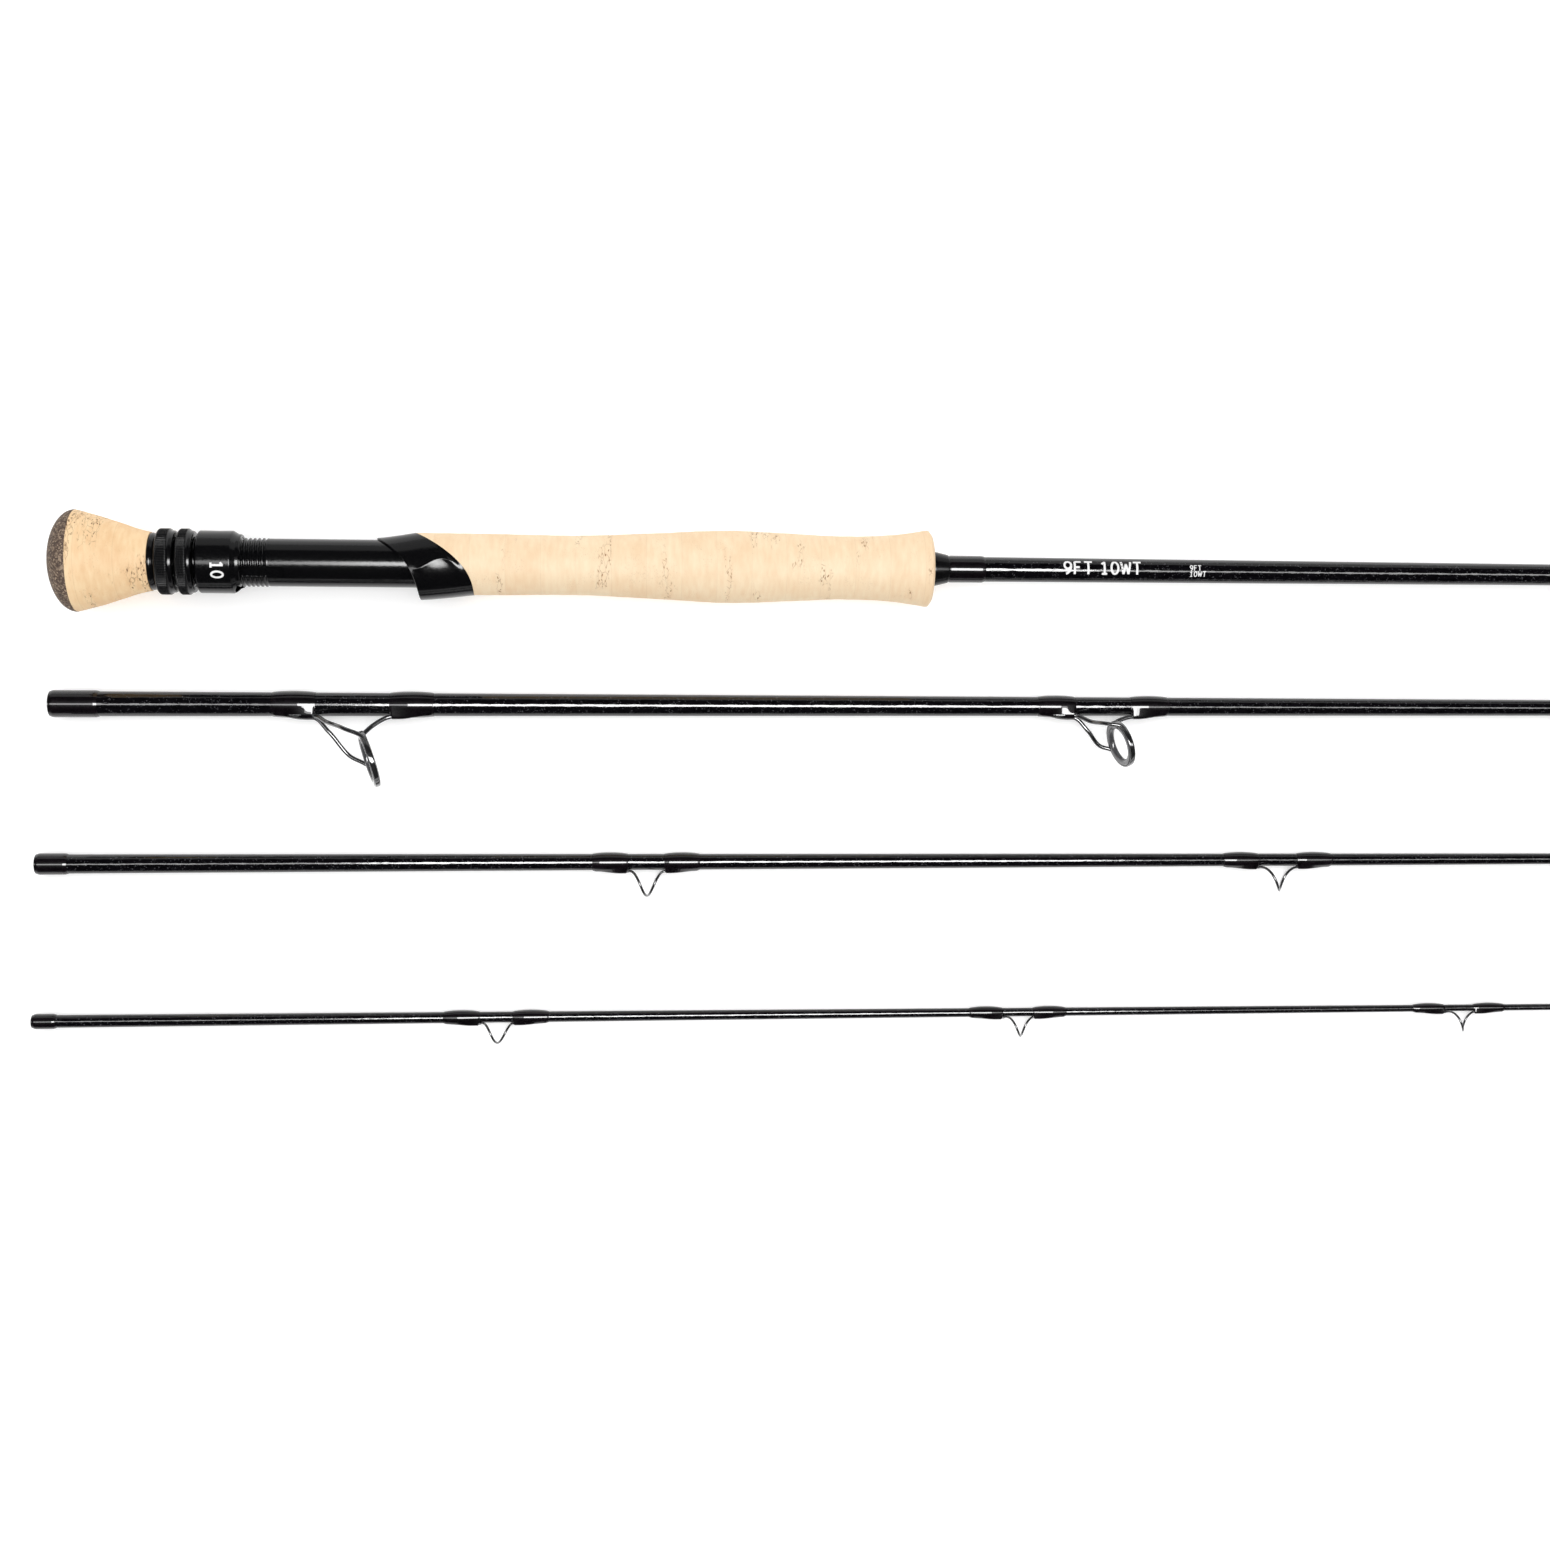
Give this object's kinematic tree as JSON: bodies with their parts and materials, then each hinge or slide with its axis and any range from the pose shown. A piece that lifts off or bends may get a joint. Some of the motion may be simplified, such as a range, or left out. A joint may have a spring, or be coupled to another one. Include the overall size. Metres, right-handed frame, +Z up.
{
  "type": "fly rod",
  "caption": "Four-piece fly rod taken apart: cork grip and up-locking reel seat on the butt section, guides along the tapered upper sections.",
  "frame": {"origin": "bottom centre of the whole layout, on the surface that the four sections lie on", "axes": "+X along the sections from butt to tip, +Z up, +Y towards the butt section's row"},
  "size_m": [0.7346, 0.194, 0.0364],
  "materials": {
    "dark_cork": "dark composite cork",
    "butt_cork": "cork",
    "cork": "cork",
    "arbor": "cork",
    "black_anodised": "gloss black anodised",
    "check_rubber": "satin",
    "carbon_blank": "gloss varnish over carbon",
    "thread_wrap": "thread under gloss epoxy",
    "ceramic": "polished ceramic",
    "guide_wire": "dark chromed wire"
  },
  "bodies": {
    "butt_section": {"butt_cap": "dark_cork", "fighting_butt_cork": "butt_cork", "seat_end_collar": "black_anodised", "seat_barrel": "black_anodised", "seat_arbor_rear": "arbor", "seat_arbor_front": "arbor", "front_hood": "black_anodised", "grip_cork": "cork", "winding_check": "check_rubber", "hosel_wrap": "thread_wrap", "blank_butt": "carbon_blank"},
    "sliding_hood_body": {"sliding_hood": "black_anodised"},
    "lock_ring_body": {"lock_ring": "black_anodised"},
    "jam_ring_body": {"jam_ring": "black_anodised"},
    "lower_section": {"blank_lower": "carbon_blank", "ferrule_wrap_lower": "thread_wrap", "stripping_guide_large_frame": "guide_wire", "stripping_guide_large_ring": "ceramic", "stripping_guide_large_rear_wrap": "thread_wrap", "stripping_guide_large_front_wrap": "thread_wrap", "stripping_guide_small_frame": "guide_wire", "stripping_guide_small_ring": "ceramic", "stripping_guide_small_rear_wrap": "thread_wrap", "stripping_guide_small_front_wrap": "thread_wrap", "snake_guide_1": "guide_wire", "snake_guide_1_rear_wrap": "thread_wrap", "snake_guide_1_front_wrap": "thread_wrap"},
    "upper_section": {"blank_upper": "carbon_blank", "ferrule_wrap_upper": "thread_wrap", "snake_guide_2": "guide_wire", "snake_guide_2_rear_wrap": "thread_wrap", "snake_guide_2_front_wrap": "thread_wrap", "snake_guide_3": "guide_wire", "snake_guide_3_rear_wrap": "thread_wrap", "snake_guide_3_front_wrap": "thread_wrap", "snake_guide_4": "guide_wire", "snake_guide_4_rear_wrap": "thread_wrap", "snake_guide_4_front_wrap": "thread_wrap"},
    "tip_section": {"blank_tip": "carbon_blank", "ferrule_wrap_tip": "thread_wrap", "snake_guide_5": "guide_wire", "snake_guide_5_rear_wrap": "thread_wrap", "snake_guide_5_front_wrap": "thread_wrap", "snake_guide_6": "guide_wire", "snake_guide_6_rear_wrap": "thread_wrap", "snake_guide_6_front_wrap": "thread_wrap", "snake_guide_7": "guide_wire", "snake_guide_7_rear_wrap": "thread_wrap", "snake_guide_7_front_wrap": "thread_wrap", "snake_guide_8": "guide_wire", "snake_guide_8_rear_wrap": "thread_wrap", "snake_guide_8_front_wrap": "thread_wrap", "tip_top": "guide_wire"}
  },
  "joints": [
    {"name": "hood_slide", "type": "slide", "parent": "butt_section", "child": "sliding_hood_body", "axis": [0.9999, 0, -0.0126], "range_m": [0, 0.024]},
    {"name": "lock_ring_turn", "type": "hinge", "parent": "sliding_hood_body", "child": "lock_ring_body", "pos_m": [-0.3087, 0.07884, 0.01773], "axis": [0.9999, 0, -0.0126], "range_deg": [0, 5400.5]},
    {"name": "jam_ring_turn", "type": "hinge", "parent": "sliding_hood_body", "child": "jam_ring_body", "pos_m": [-0.3157, 0.07884, 0.01782], "axis": [0.9999, 0, -0.0126], "range_deg": [0, 5400.5]},
    {"name": "lower_section_slide", "type": "slide", "parent": "butt_section", "child": "lower_section", "axis": [1, 0, 0], "range_m": [0, 0.6676]},
    {"name": "upper_section_slide", "type": "slide", "parent": "lower_section", "child": "upper_section", "axis": [1, 0, 0], "range_m": [0, 0.6743]},
    {"name": "tip_section_slide", "type": "slide", "parent": "upper_section", "child": "tip_section", "axis": [1, 0, 0], "range_m": [0, 0.6807]}
  ],
  "couplings": [
    {"joint": "lock_ring_turn", "follows": "hood_slide", "rad_per_m": 3927},
    {"joint": "jam_ring_turn", "follows": "hood_slide", "rad_per_m": 3927}
  ]
}
